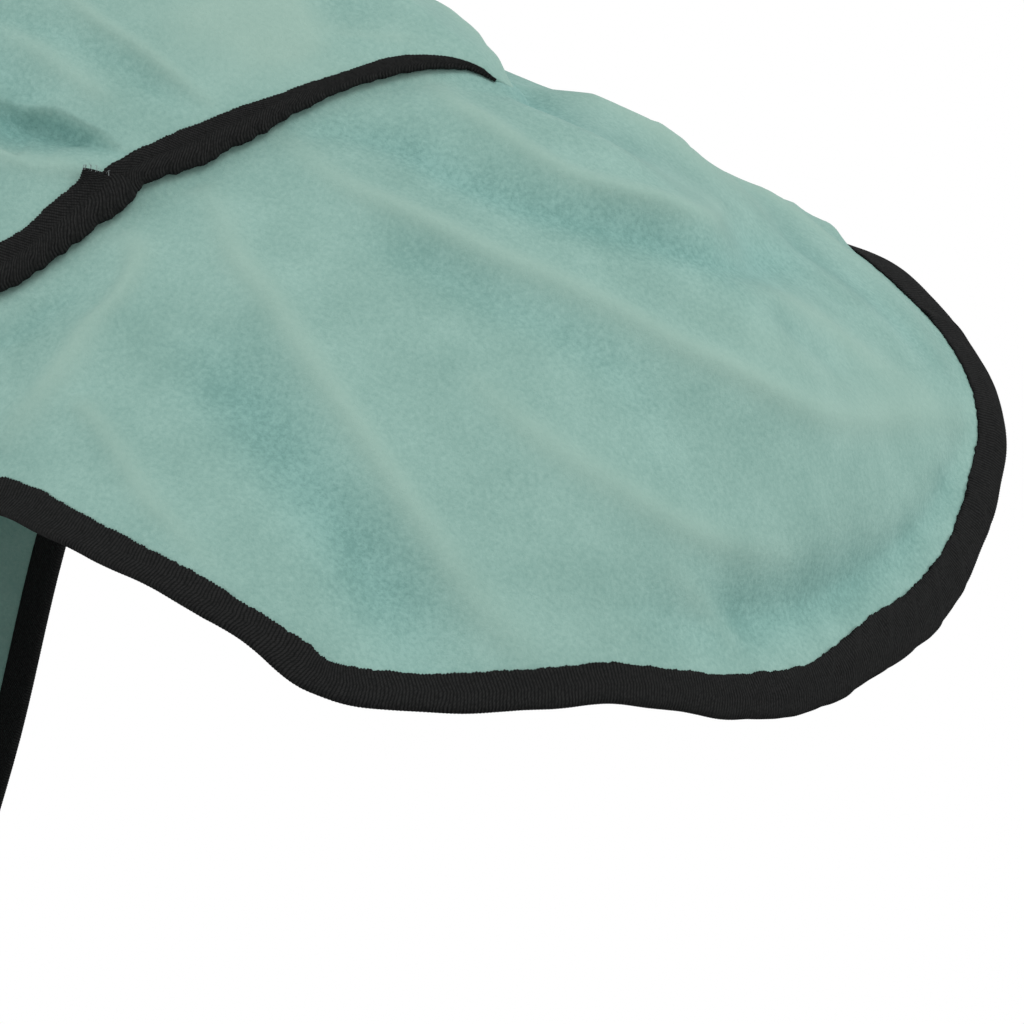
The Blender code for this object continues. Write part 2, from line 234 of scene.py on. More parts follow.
def nearestOnLine(spots, line):  # the distance to it, the side, and the share of the way along it
    best = np.full(len(spots), 1e9)
    side, along = np.zeros(len(spots)), np.zeros(len(spots))
    for n, (start, end) in enumerate(zip(line[:-1], line[1:])):
        run, off = end - start, spots - start
        t = np.clip(off @ run / max(run @ run, 1e-12), 0, 1)
        gap = off - t[:, None] * run
        away = np.hypot(gap[:, 0], gap[:, 1])
        closer = away < best
        best = np.where(closer, away, best)
        side = np.where(closer, run[0] * gap[:, 1] - run[1] * gap[:, 0], side)
        along = np.where(closer, (n + t) / (len(line) - 1), along)
    return best, side, along


def endFade(away, share, steep):
    return np.minimum(1, share + steep * away)


# a fold's height, its widths to the left and right of its line, the line itself, and how far it
# narrows towards the line's end, in the units of the tables above; gives the height in metres
# and the amount of painted light: painted shade in troughs (below zero), painted highlight on ridges
def foldHeight(p, r, folds, span):
    total, tone = np.zeros(p.shape), np.zeros(p.shape)
    x, y = p * span[0], r * span[1]
    for height, wideLeft, wideRight, places, *narrows in folds:
        height, wideLeft, wideRight = height / 1000, wideLeft / 1000, wideRight / 1000
        line = smoothLine(np.array(places) / 1000, foldShape["lineSteps"] * len(places)) * span
        reach = foldShape["reach"] * max(wideLeft, wideRight)
        low, high = line.min(axis=0) - reach, line.max(axis=0) + reach
        near = (x > low[0]) & (x < high[0]) & (y > low[1]) & (y < high[1])
        if not near.any():
            continue
        best, side, along = nearestOnLine(np.column_stack((x[near], y[near])), line)
        narrow = sum(narrows) / 1000 * along ** foldShape["narrowing"]
        width = np.where(side > 0, wideLeft, wideRight) * (1 - narrow)
        out = best / np.maximum(width, 1e-5)    # a width of 0 leaves that side of the line flat
        fade = endFade(along, *foldShape["start"]) * endFade(1 - along, *foldShape["end"])
        # painted shade for a trough, darkest along its line
        dark = max(height / foldShape["fullTrough"], foldShape["deepest"]) * fade
        broad = np.exp(-out ** foldShape["falloff"])
        if min(wideLeft, wideRight) == 0:       # the cloth breaks down sharply at the line
            total[near] += height * fade * out * np.exp(1 - out)
            tone[near] += dark * out * np.exp(1 - out)
        elif height > 0:                        # a ridge has a crisp crest on a broad foot
            crisp = (1 - foldShape["foot"]) * hump(out, 0, foldShape["crest"])
            total[near] += height * fade * (foldShape["foot"] * broad + crisp)
            # painted highlight along a ridge's crest
            highlit = min(height / foldShape["fullHighlightHeight"], 1) * fade
            tone[near] += highlit * hump(out, 0, foldShape["ridgeHighlightWidth"])
        else:
            total[near] += height * fade * broad
            tone[near] += dark * hump(out, 0, foldShape["troughShadeWidth"])
    return total, tone


def foldsAndPaintedLight(p, r, folds, paintedLight, span):  # places of painted highlight change the colour only, not the height
    height, tone = foldHeight(p, r, folds, span)
    return height, tone + foldHeight(p, r, paintedLight, span)[0]


# meshes from grids of points

def addObject(name, data):
    made = bpy.data.objects.new(name, data)
    bpy.context.scene.collection.objects.link(made)
    return made


def writeMesh(bm, mesh):
    bm.to_mesh(mesh)
    bm.free()
    return mesh


def addMap(mesh, name, values):  # a UV map from a pair of values at each vertex
    corners = np.empty(len(mesh.loops), dtype=np.int32)
    mesh.loops.foreach_get("vertex_index", corners)
    layer = mesh.uv_layers.new(name=name)
    layer.data.foreach_set("uv", values.reshape(-1, 2)[corners].reshape(-1).astype(np.float32))


def gridPiece(name, points, uv, material, flip=False, wrap=False, tone=None):
    rows, columns = points.shape[:2]
    bm = bmesh.new()
    bmesh.ops.create_grid(bm, x_segments=columns - 1, y_segments=rows - 1, size=0.5)
    mesh = writeMesh(bm, bpy.data.meshes.new(name))
    mesh.vertices.foreach_set("co", points.reshape(-1).astype(np.float32))
    addMap(mesh, "UVMap", uv)
    if tone is not None:                        # how much painted shade and painted highlight the folds give, and how strongly the nap shows
        addMap(mesh, "Folds", np.column_stack((np.clip(tone.ravel(), -1.5, 1.2), np.zeros(tone.size))))
    mesh.update()
    bm = bmesh.new()
    bm.from_mesh(mesh)
    if wrap:                                    # close the tube along its seam and at both ends
        bmesh.ops.remove_doubles(bm, verts=bm.verts, dist=0.000002)
        openEdges = [edge for edge in bm.edges if edge.is_boundary]
        bmesh.ops.holes_fill(bm, edges=openEdges, sides=0)
        bmesh.ops.recalc_face_normals(bm, faces=bm.faces)
    if flip:
        bmesh.ops.reverse_faces(bm, faces=bm.faces)
    writeMesh(bm, mesh)
    mesh.shade_smooth()
    piece = addObject(name, mesh)
    mesh.materials.append(material)
    return piece


def thicken(piece, thickness, even=True):
    wall = piece.modifiers.new("Wall", "SOLIDIFY")
    wall.thickness = thickness
    wall.offset = -1
    wall.use_even_offset = even
    wall.use_rim = True


def searchTree(points):
    rows, columns = points.shape[:2]
    index = np.arange(rows * columns).reshape(rows, columns)
    quads = np.stack((index[:-1, :-1], index[:-1, 1:], index[1:, 1:], index[1:, :-1]), axis=-1)
    return BVHTree.FromPolygons(points.reshape(-1, 3).tolist(), quads.reshape(-1, 4).tolist())


# materials

def inputs(node, **values):
    for key, value in values.items():
        node.inputs[key].default_value = value
    return node


class Tree:  # small helper for building node trees
    def __init__(self, tree):
        self.tree = tree

    def add(self, kind, **settings):
        node = self.tree.nodes.new(kind)
        for key, value in settings.items():
            setattr(node, key, value)
        return node

    def link(self, source, target):
        self.tree.links.new(source, target)

    def feed(self, target, value):  # a number, a colour or another node's output
        if isinstance(value, tuple):
            target.default_value = (*value, 1)
        elif isinstance(value, (int, float)):
            target.default_value = value
        else:
            self.link(value, target)

    def math(self, operation, *values):
        node = self.add("ShaderNodeMath", operation=operation)
        for target, value in zip(node.inputs, values):
            self.feed(target, value)
        return node.outputs[0]

    def scaled(self, value, by, plus):
        return self.math("MULTIPLY_ADD", value, by, plus)

    def noise(self, coordinates, scale, detail=2.0, rough=0.5):
        node = inputs(self.add("ShaderNodeTexNoise"), Detail=detail, Roughness=rough)
        self.link(coordinates, node.inputs["Vector"])
        self.feed(node.inputs["Scale"], scale)
        return node.outputs["Fac"]

    def mix(self, first, second, factor, **settings):
        node = self.add("ShaderNodeMix", data_type="RGBA", **settings)
        for key, value in (("A", first), ("B", second), ("Factor", factor)):
            self.feed(node.inputs[key], value)
        return node.outputs["Result"]

    def spread(self, value, low, high, toLow, toHigh, clamp=True):  # one range turned into another
        node = self.add("ShaderNodeMapRange", clamp=clamp)
        inputs(node, **{"From Min": low, "From Max": high, "To Min": toLow, "To Max": toHigh})
        self.link(value, node.inputs["Value"])
        return node.outputs["Result"]

    def bump(self, height, strength, distance):
        node = inputs(self.add("ShaderNodeBump"), Strength=strength, Distance=distance)
        self.link(height, node.inputs["Height"])
        return node.outputs["Normal"]

    def mapParts(self, name):  # the two values of a UV map
        parts = self.add("ShaderNodeSeparateXYZ")
        self.link(self.add("ShaderNodeUVMap", uv_map=name).outputs["UV"], parts.inputs[0])
        return parts.outputs["X"], parts.outputs["Y"]


def newMaterial(name, values):
    material = bpy.data.materials.new(name)
    material.use_nodes = True
    shader = inputs(material.node_tree.nodes["Principled BSDF"], **values)
    return material, Tree(material.node_tree), shader.inputs


def newGroup(name, takes, gives):
    group = bpy.data.node_groups.new(name, "ShaderNodeTree")
    for names, way in ((takes, "INPUT"), (gives, "OUTPUT")):
        for key in names:
            group.interface.new_socket(key, in_out=way, socket_type="NodeSocketFloat")
    tree = Tree(group)
    return tree, tree.add("NodeGroupInput").outputs, tree.add("NodeGroupOutput").inputs


napSettings = {
    "scales": {"Tuft Scale": 420.0, "Fibre Scale": 1500.0, "Cloud Scale": 26.0},    # to a metre
    "tuftTone": 0.9,            # how much tufts, fibres and clouds show in the colour
    "fibreTone": 0.35,
    "cloudTone": 0.8,
    "toneShift": 0.525,
    "tuftRise": 0.75,           # and in the bumps
    "fibreRise": 0.35,
    "colourLow": (0.205, 0.350, 0.302),
    "colourHigh": (0.300, 0.463, 0.401),
    # painted shade in troughs and painted highlight on ridges, as factors on the colour
    "paintedTroughShade": (0.785, 0.885, 0.93),
    "paintedRidgeHighlight": (1.085, 1.03, 1.04),
    "contrastTrough": 2.9,      # how strongly the tufts show in troughs
    "contrastRidge": 0.65,
    "bump": 0.42,
    "bumpDepth": 0.0011,
    "shader": {"Roughness": 1.0, "Metallic": 0.0, "Specular IOR Level": 0.1, "Sheen Weight": 0.12,
               "Sheen Roughness": 0.45, "Sheen Tint": (0.85, 1.0, 0.96, 1)},
}


def napGroup():
    tree, given, result = newGroup("brushedNap", napSettings["scales"], ("Tone", "Height"))
    place = tree.add("ShaderNodeTexCoord").outputs["Object"]
    tuft = tree.noise(place, given["Tuft Scale"], 3.0, 0.6)
    fibre = tree.noise(place, given["Fibre Scale"], 2.0, 0.6)
    cloud = tree.noise(place, given["Cloud Scale"], 3.0, 0.5)
    height = tree.math("MULTIPLY", tuft, napSettings["tuftRise"])
    height = tree.scaled(fibre, napSettings["fibreRise"], height)
    tone = tree.math("MULTIPLY", cloud, napSettings["cloudTone"])
    tone = tree.scaled(fibre, napSettings["fibreTone"], tone)
    tone = tree.scaled(tuft, napSettings["tuftTone"], tone)
    tree.link(tree.math("SUBTRACT", tone, napSettings["toneShift"]), result["Tone"])
    tree.link(height, result["Height"])
    return tree.tree


def fleeceMaterial():
    material, tree, shader = newMaterial("mintFleece", napSettings["shader"])
    nap = inputs(tree.add("ShaderNodeGroup", node_tree=napGroup()), **napSettings["scales"]).outputs
    folds = tree.mapParts("Folds")[0]
    # the nap stands up in troughs and lies flat on ridges
    contrast = tree.spread(folds, -1.2, 0.8, napSettings["contrastTrough"], napSettings["contrastRidge"])
    factor = tree.scaled(tree.math("SUBTRACT", nap["Tone"], 0.5), contrast, 0.5)
    colour = tree.mix(napSettings["colourLow"], napSettings["colourHigh"], factor)
    # painted shade: troughs are darker and cooler; painted highlight: ridges are lighter
    shadeAmount = tree.spread(folds, -1.0, 1.0, 0.0, 1.0, clamp=False)
    tint = tree.mix(napSettings["paintedTroughShade"], napSettings["paintedRidgeHighlight"], shadeAmount, clamp_factor=False)
    tree.link(tree.mix(colour, tint, 1, blend_type="MULTIPLY"), shader["Base Color"])
    tree.link(tree.bump(nap["Height"], napSettings["bump"], napSettings["bumpDepth"]), shader["Normal"])
    return material


tapeSettings = {
    "pitch": 0.0018,            # one rib of the tape
    "wanderScale": 90.0,
    "wander": 1.6,              # how far the ribs wander, in ribs
    "crossPitch": 0.8,          # the threads that cross the ribs, in ribs
    "crossSlant": 13.0,
    "crossWander": 2.4,
    "unevenScale": 700.0,
    "weaveScale": 1900.0,
    # the woven ribs with painted shade in the grooves and a painted highlight on the ribs
    "grooveShadeColour": (0.0022, 0.0028, 0.0028),
    "ribHighlightColour": (0.0195, 0.0198, 0.0196),
    "bump": 0.5,
    "bumpDepth": 0.0006,
    "shader": {"Roughness": 0.82, "Metallic": 0.0, "Specular IOR Level": 0.07},
}


def ribGroup():
    tree, given, result = newGroup("tapeRibs", ("Pitch", "Slant", "Crease"), ("Ribs", "Weave"))
    along, across = tree.mapParts("UVMap")
    place = tree.add("ShaderNodeTexCoord").outputs["Object"]
    wander = tree.noise(place, tapeSettings["wanderScale"])

    def waves(phase):
        return tree.math("ABSOLUTE", tree.math("SINE", tree.math("MULTIPLY", phase, math.pi)))

    away = tree.math("ABSOLUTE", tree.math("SUBTRACT", across, given["Crease"]))
    phase = tree.math("DIVIDE", along, given["Pitch"])
    phase = tree.scaled(away, given["Slant"], phase)
    wave = waves(tree.scaled(wander, tapeSettings["wander"], phase))
    cross = tree.math("DIVIDE", along, tree.math("MULTIPLY", given["Pitch"], tapeSettings["crossPitch"]))
    cross = tree.scaled(across, tapeSettings["crossSlant"], cross)
    knots = waves(tree.scaled(wander, tapeSettings["crossWander"], cross))
    knots = tree.scaled(knots, 0.5, 0.5)
    wave = tree.math("MULTIPLY", tree.math("POWER", wave, 0.8), knots)
    uneven = tree.scaled(tree.noise(place, tapeSettings["unevenScale"]), 2.2, -0.1)
    tree.link(tree.math("MULTIPLY", wave, uneven), result["Ribs"])
    tree.link(tree.noise(place, tapeSettings["weaveScale"]), result["Weave"])
    return tree.tree


ribs = ribGroup()


def tapeMaterial(name, slant, crease):
    material, tree, shader = newMaterial(name, tapeSettings["shader"])
    weave = tree.add("ShaderNodeGroup", node_tree=ribs)
    weave = inputs(weave, Pitch=tapeSettings["pitch"], Slant=slant, Crease=crease).outputs
    # the ribs are painted lighter and the grooves darker, as highlight and shade
    colour = tree.mix(tapeSettings["grooveShadeColour"], tapeSettings["ribHighlightColour"], weave["Ribs"])
    tree.link(colour, shader["Base Color"])
    height = tree.scaled(weave["Weave"], 0.35, weave["Ribs"])
    tree.link(tree.bump(height, tapeSettings["bump"], tapeSettings["bumpDepth"]), shader["Normal"])
    return material


fleece = fleeceMaterial()
flatTape = tapeMaterial("ribbedTape", 2.0, 0.55)
rolledTape = tapeMaterial("rolledRibbedTape", 9.0, 0.48)
print("materials ready")

# the tail flap

flapMesh = {
    "placeCells": 300,
    "tuckCells": 5,
    "reachCells": 142,
    "step": 0.01,
    "crestSoft": 0.05,          # how much the spine's ridge is smoothed
    "crestReach": 0.22,         # and how far out
    "crestLift": 0.0030,        # the seam is higher by the spine
    "crestAt": (0.02, 0.10),    # place and width
    "farDrop": 0.0032,          # and lower beyond it
    "farAt": (0.27, 0.09),
    "turnedUp": ((0.20, 0.30), (0.68, 0.58)),   # the far edge is turned up between these places
    "flick": (0.0024, 0.022, 0.0026, 0.028, 0.014),     # rise, its reach, dip, its place and width
    "span": (0.45, 0.36),       # metres for one unit of place, and for the whole way down
}

# places are the place round the seam (left is below zero) and the way down to the tape
flapFolds = (
    (5.6, 16, 18, ((-87, 0), (-122, 82), (-126, 139), (-124, 228), (-101, 293), (-42, 333), (92, 390),
     (238, 447))),
    (-3.4, 18, 20, ((100, 40), (100, 120), (117, 190), (180, 270), (236, 330))),
    (-7.4, 19, 21, ((-290, 7), (-262, 61), (-238, 135), (-226, 237), (-184, 325), (-141, 366), (-66, 411),
     (96, 487), (238, 556), (358, 624), (452, 672))),
    (5.8, 17, 17, ((-322, 0), (-353, 104), (-354, 194), (-328, 282), (-280, 398), (-216, 489), (-161, 549),
     (-109, 601), (-49, 642), (70, 730), (228, 838), (368, 990))),
    (2.2, 34, 34, ((-60, 560), (50, 640), (200, 780), (320, 930))),
    (-3.8, 16, 17, ((-385, 310), (-362, 354), (-304, 470), (-233, 558), (-179, 635), (-154, 724))),
    (3.4, 18, 20, ((40, 500), (118, 556), (191, 648), (233, 736), (299, 868))),
    (-2, 10, 10, ((60, 570), (110, 640), (170, 728))),
    (6.4, 15, 17, ((-476, 30), (-529, 180), (-547, 300), (-530, 542), (-478, 702), (-398, 840),
     (-335, 931), (-290, 980))),
    (-7.4, 26, 22, ((-604, 500), (-595, 600), (-570, 690), (-524, 785), (-465, 865), (-405, 935),
     (-360, 1010))),
    (4.2, 14, 16, ((-345, 620), (-289, 713), (-209, 800), (-137, 848), (-40, 870))),
    (3.8, 14, 14, ((-740, 680), (-722, 756), (-648, 925), (-586, 985))),
    (5.8, 16, 18, ((-600, 40), (-620, 120), (-680, 240), (-730, 360), (-780, 661), (-806, 884))),
    (-3.4, 22, 22, ((-840, 330), (-800, 240), (-755, 150), (-700, 60))),
    (3, 12, 12, ((-160, 895), (-120, 940), (-95, 975))),
    (-12.2, 16, 20, ((-152, 946), (-105, 940), (-55, 934), (5, 933), (60, 939), (125, 949))),
    (-4.8, 14, 10, ((80, 932), (150, 944), (233, 960), (300, 974))),
    (7, 45, 45, ((310, 320), (400, 440), (500, 580))),
    (-1.5, 20, 24, ((180, 460), (280, 620), (350, 800))),
    (9.2, 26, 30, ((265, 130), (295, 220), (320, 300), (360, 390))),
    (-9.5, 34, 34, ((-10, 0), (70, 30), (160, 60), (250, 80))),
    (9.8, 22, 26, ((560, 700), (585, 800), (596, 880), (600, 940))),
    (-2, 28, 30, ((200, 30), (270, 50), (310, 90))),
    (5.5, 20, 18, ((480, 50), (560, 300), (560, 600), (500, 920))),
    (-6, 24, 20, ((640, 420), (650, 650), (590, 930))),
    (5.5, 20, 18, ((640, 50), (740, 300), (800, 650), (830, 920))),
    (-4, 20, 20, ((420, 620), (420, 800), (380, 940))),
)
# where the flap gets more painted highlight: amount (1000 is a ridge's crest), widths, places
flapPaintedHighlight = (
    (350, 26, 26, ((-150, 945), (-55, 935), (60, 940), (160, 955))),
)


def roundOff(values, place):  # the spine's ridge is softer in the flap
    kernel = hump(place[:, None], place[None, :], flapMesh["crestSoft"])
    smooth = kernel @ values / kernel.sum(axis=1, keepdims=True)
    share = np.exp(-(place / flapMesh["crestReach"]) ** 4)[:, None]
    return values + (smooth - values) * share


def flapSheet():
    place = np.linspace(-1, 1, flapMesh["placeCells"] + 1)
    share = place * rug["seamShare"]
    edge = sheetPoints(rearX(share), share)
    low, high = np.maximum(share - flapMesh["step"], -1), np.minimum(share + flapMesh["step"], 1)
    along = unit(sheetPoints(rearX(high), high) - sheetPoints(rearX(low), low))
    reach = np.full(len(place), rug["tape"])
    for _ in range(12):                         # the tape's inner line lies square to the edge
        away = sheetPoints(rearX(share) - reach, share) - edge
        away -= along * (away * along).sum(axis=1, keepdims=True)
        reach *= (rug["tape"] / np.linalg.norm(away, axis=1)) ** 0.7
    inner = sheetPoints(rearX(share) - reach, share)
    normals = unit(np.cross(edge - inner, along))
    edge, inner = edge - normals * rug["flapDepth"], inner - normals * rug["flapDepth"]
    heading = unit(edge - inner)
    start = edge + heading * rug["flapClear"]
    start, heading = roundOff(start, place), unit(roundOff(heading, place))
    start[:, 2] += flapMesh["crestLift"] * hump(place, *flapMesh["crestAt"])
    start[:, 2] -= flapMesh["farDrop"] * hump(place, *flapMesh["farAt"])
    end = np.array(tailHead) + np.column_stack([readTable(flapEdge, k, place) for k in (1, 2, 3)])
    lift = np.zeros((len(place), 3))
    lift[:, 2] = rug["flapLift"] * (1 - place ** 2)
    rise = unit(heading + lift) * np.linalg.norm(end - start, axis=1, keepdims=True)
    fall = end - start - rise
    tuck = inner - heading * (rug["tuck"] - rug["tape"])
    first = np.linspace(0, 1, flapMesh["tuckCells"] + 1)[:-1, None, None]
    second = np.linspace(0, 1, flapMesh["reachCells"] + 1)[:, None, None]
    points = np.concatenate((tuck + (start - tuck) * first, start + rise * second + fall * second ** 2))
    ease = readTable(flapEase, 1, place)[:, None] * unit(rise + 2 * fall)
    points[flapMesh["tuckCells"]:] += ease * second ** 4
    endSpeed = np.linalg.norm(rise + 2 * fall, axis=1)
    r = np.concatenate((first[:, 0, 0] - 1, second[:, 0, 0]))
    toEdge = (1 - np.maximum(r, 0))[:, None] * endSpeed
    reachShare = np.maximum(r, 0)[:, None] / (1 - rug["tape"] / endSpeed)
    return points, np.repeat(place[None, :], len(r), axis=0), reachShare, toEdge


flapPoints, flapP, flapR, flapToEdge = flapSheet()
flapRise, flapTone = foldsAndPaintedLight(flapP, flapR, flapFolds, flapPaintedHighlight, flapMesh["span"])
flapRise *= smoothStep(-0.01, 0.05, flapR) * smoothStep(0.006, 0.026, flapToEdge)
turnUp = smoothStep(*flapMesh["turnedUp"][0], flapP) * smoothStep(*flapMesh["turnedUp"][1], flapP)
rimRise, rimReach, dip, *dipAt = flapMesh["flick"]
flick = rimRise * fading(flapToEdge, rimReach) - dip * hump(flapToEdge, *dipAt)
flapPoints = flapPoints + sheetNormals(flapPoints) * (flapRise + turnUp * flick)[..., None]
flapUv = np.stack((flapP * flapMesh["span"][0], flapR * flapMesh["span"][1]), axis=-1)
flap = gridPiece("tailFlapFleece", flapPoints, flapUv, fleece, flip=True, tone=flapTone)
thicken(flap, rug["cloth"])
print("tail flap", len(flap.data.polygons))

# the body

bodyMesh = {
    "span": (1.02, 1.66),       # metres for one unit down a side and along the back
    # from, to and number of cells, finer where the cloth dips by the tail
    "left": ((0, 0.12, 26), (0.12, 0.27, 62), (0.27, 0.42, 32), (0.42, 1, 32)),
    "right": ((0, 0.26, 52), (0.26, 0.42, 22), (0.42, 1, 32)),
    "length": ((0, 0.82, 62), (0.82, 0.90, 30), (0.90, 0.985, 62), (0.985, 1, 10)),
}

# places are the share of the way down a side (left is below zero) and the way to the rear
bodyFolds = (
    (-10.4, 11.5, 0, ((-214, 932), (-209, 944), (-204, 950), (-202.5, 957), (-203, 965.5), (-203.5, 971),
     (-205.5, 984)), 600),
    (-3.5, 18, 12, ((-224, 934), (-220, 946), (-214, 956), (-210, 966))),
    (4.5, 16, 16, ((-252, 930), (-246, 950), (-238, 968), (-226, 985))),
    (-4, 14, 12, ((-192, 890), (-196, 915), (-202, 936), (-207, 945))),
    (3.4, 12, 12, ((-172, 900), (-178, 928), (-181, 946), (-184, 960))),
    (-3.4, 11, 11, ((-176, 880), (-160, 915), (-156, 942), (-159, 960), (-160, 975))),
    (4, 9, 9, ((-128, 875), (-137, 908), (-141, 923), (-143, 944), (-147, 964), (-149, 980))),
    (4, 40, 30, ((-30, 900), (-60, 950), (-90, 985))),
    (-2.5, 40, 36, ((75, 880), (66, 930), (58, 962))),
    (5, 34, 30, ((62, 955), (52, 971), (38, 986), (22, 999))),
    (-3, 20, 20, ((-20, 950), (-45, 968), (-68, 978))),
    (-6, 30, 22, ((-300, 880), (-360, 905), (-430, 915))),
    (6, 26, 30, ((-270, 860), (-340, 880), (-430, 890), (-520, 880))),
    (8, 35, 45, ((-500, 870), (-700, 855), (-950, 830))),
    (-6, 40, 40, ((-450, 760), (-700, 745), (-950, 700))),
    (8, 45, 35, ((-540, 600), (-740, 560), (-980, 575))),
    (6, 40, 50, ((-400, 350), (-650, 410), (-960, 420))),
    (8, 40, 40, ((-450, 160), (-660, 240), (-950, 260))),
    (-5, 30, 30, ((-500, 80), (-720, 130), (-900, 160))),
    (-8, 10, 20, ((232, 925), (228, 948), (217, 966), (221, 982))),
    (4.5, 14, 14, ((176, 890), (182, 922), (174, 962))),
    (3.5, 10, 10, ((118, 880), (134, 915), (146, 945), (152, 980))),
    (-5, 30, 22, ((290, 890), (350, 900), (440, 905))),
    (8, 40, 35, ((480, 850), (720, 840), (960, 800))),
    (-6, 40, 45, ((420, 730), (700, 690), (950, 680))),
    (8, 40, 40, ((560, 500), (760, 545), (970, 530))),
    (6, 45, 40, ((420, 330), (660, 385), (950, 390))),
    (8, 40, 35, ((460, 150), (700, 225), (950, 240))),
    (-5, 30, 30, ((520, 80), (740, 120), (900, 150))),
)
# where the body gets more painted highlight, in the same way
bodyPaintedHighlight = (
    (1300, 52, 52, ((-105, 930), (-92, 960), (-85, 985))),
    (500, 10, 14, ((-60, 970), (-40, 980), (-20, 985))),
    (1000, 80, 80, ((100, 900), (105, 960))),
)
# how much of the rear tape shows: the way from the centre back, and share
tapeShows = {
    "left": table((0, 8, 18, 32, 50), (420, 580, 780, 940, 1000)),
    "right": table((0, 12, 35, 100, 150, 200), (420, 220, 50, 100, 600, 1000)),
}
rearLay = {                     # how the rear edge settles on the flap, metres
    "from": -0.05,              # along the edge from the centre back
    "to": 0.22,
    "probe": 0.004,             # the flap is looked for from here above the cloth
    "probeReach": 0.03,
    "noFlap": 0.006,            # taken where it isn't found
    "press": 0.0012,
    "most": 0.012,
    "closes": (0.140, 0.095),   # the roll closes to a cord between these
    "lumps": ((0.0005, 410, 2, 97), (0.0004, 173, 0, 0), (0.0003, 877, 0, 0)),  # of the rolled edge
    "farTape": 0.105,           # the far tape is laid from here on
    "curl": (0.016, 0.020),     # the cloth curls under over this width, and this more on the far side
}


def zoned(zones):
    return np.concatenate([np.linspace(low, high, cells + 1)[1:] for low, high, cells in zones])


def bodySheet():
    left, right = zoned(bodyMesh["left"]), zoned(bodyMesh["right"])
    shares = np.concatenate(((-2.0, -1.5), -left[::-1], (0.0,), right, (1.5, 2.0)))
    first = edgeX(frontEdge, shares)
    last = rearX(shares) + np.where(shares < 0, readTable(nearRun, 1, -shares), 0)
    xs = first[:, None] + (last - first)[:, None] * np.linspace(0, 1, 120) ** 1.6
    lengths = runningTotal(np.linalg.norm(np.diff(sheetPoints(xs, shares[:, None]), axis=1), axis=2))
    way = np.concatenate(((0.0,), zoned(bodyMesh["length"])))
    places = np.array([np.interp(way * length[-1], length, x) for length, x in zip(lengths, xs)])
    p = np.repeat(np.clip(shares, -1.02, 1.02)[:, None], len(way), axis=1)
    r = np.repeat(way[None, :], len(shares), axis=0)
    return sheetPoints(places, shares[:, None]), p, r, lengths[:, -1:]


bodyPoints, bodyP, bodyR, bodyLengths = bodySheet()
bodyNormals = -sheetNormals(bodyPoints)
toRear, toFront = (1 - bodyR) * bodyLengths, bodyR * bodyLengths
bodyRise, bodyTone = foldsAndPaintedLight(bodyP, bodyR, bodyFolds, bodyPaintedHighlight, bodyMesh["span"])
nearSpine = hump(bodyP, 0, 0.06)
bodyRise *= np.maximum(smoothStep(0.014, 0.032, toRear), nearSpine * smoothStep(0, 0.020, toRear))
bodyRise *= smoothStep(0.014, 0.040, toFront)


def lineAt(share):  # the line of the sheet nearest to a share of the way down
    return int(np.argmin(np.abs(bodyP[:, 0] - share)))


spineLine = lineAt(0)
rearAway = fromStart(bodyPoints[:, -1])         # along the rear edge from the spine, left below zero
rearAway -= rearAway[spineLine]


def shownShare(away):
    left, right = np.interp(-away, *tapeShows["left"]), np.interp(away, *tapeShows["right"])
    return np.where(away < 0, left, right)


def flapDistance(edge, normals):  # how far below the body's edge the flap lies
    tree, probe = searchTree(flapPoints), rearLay["probe"]
    found = np.zeros(len(edge))
    for n in np.flatnonzero((rearAway > rearLay["from"]) & (rearAway < rearLay["to"])):
        hit = tree.ray_cast(Vector(edge[n] + normals[n] * probe), Vector(-normals[n]), rearLay["probeReach"])
        found[n] = hit[3] - probe if hit[0] is not None else rearLay["noFlap"]
    return soften(found, 3)


curlReach = rearLay["curl"][0] + rearLay["curl"][1] * smoothStep(0, 0.02, rearAway)[:, None]
curl = (1 - shownShare(rearAway))[:, None] * fading(toRear, curlReach) ** 2
settle = flapDistance(bodyPoints[:, -1], bodyNormals[:, -1]) + rearLay["press"]
settle = np.minimum(settle, rearLay["most"])
bodyPoints = bodyPoints + bodyNormals * (bodyRise - settle[:, None] * curl)[..., None]
across = np.cumsum(np.abs(np.diff(bodyP[:, 0], prepend=bodyP[0, 0]))) * bodyMesh["span"][0]
bodyUv = np.stack(np.broadcast_arrays(bodyR * bodyMesh["span"][1], across[:, None]), axis=-1)
body = gridPiece("bodyFleece", bodyPoints, bodyUv, fleece, tone=bodyTone)
thicken(body, rug["cloth"])
print("body", len(body.data.polygons))

# binding tape, folded over the edges

# across the tape: the way in from the edge (a share of its width, or a size past the edge
# where it is below zero) and the height over the cloth's outer face
stitchedEdge = ((1000, 0.1), (1005, 0.8))
clothSide = ((980, -3.6), (1000, -2.7), (500, -2.55), (30, -2.5), (30, -0.1), (500, 0), (1000, 0.1))
flatProfile = table(
    *stitchedEdge, (970, 1.2), (880, 1.3), (760, 1.3), (640, 1.3), (520, 1.4), (400, 1.5), (280, 1.6),
    (170, 1.7), (80, 1.6), (20, 1.2), (-0.7, 0.5), (-1.2, -0.6), (-1.2, -1.9), (-0.7, -2.9), (20, -3.6),
    (120, -3.9), (450, -3.9), (800, -3.9), *clothSide,
)
plainProfile = table(
    *stitchedEdge, (950, 1.2), (700, 1.3), (400, 1.5), (150, 1.6), (20, 1.2), (-1, 0.3), (-1.2, -1.9),
    (0, -3.4), (120, -3.9), (600, -3.9), (980, -3.6), (1000, -2.7), (30, -2.5), (30, -0.1), (1000, 0.1),
)
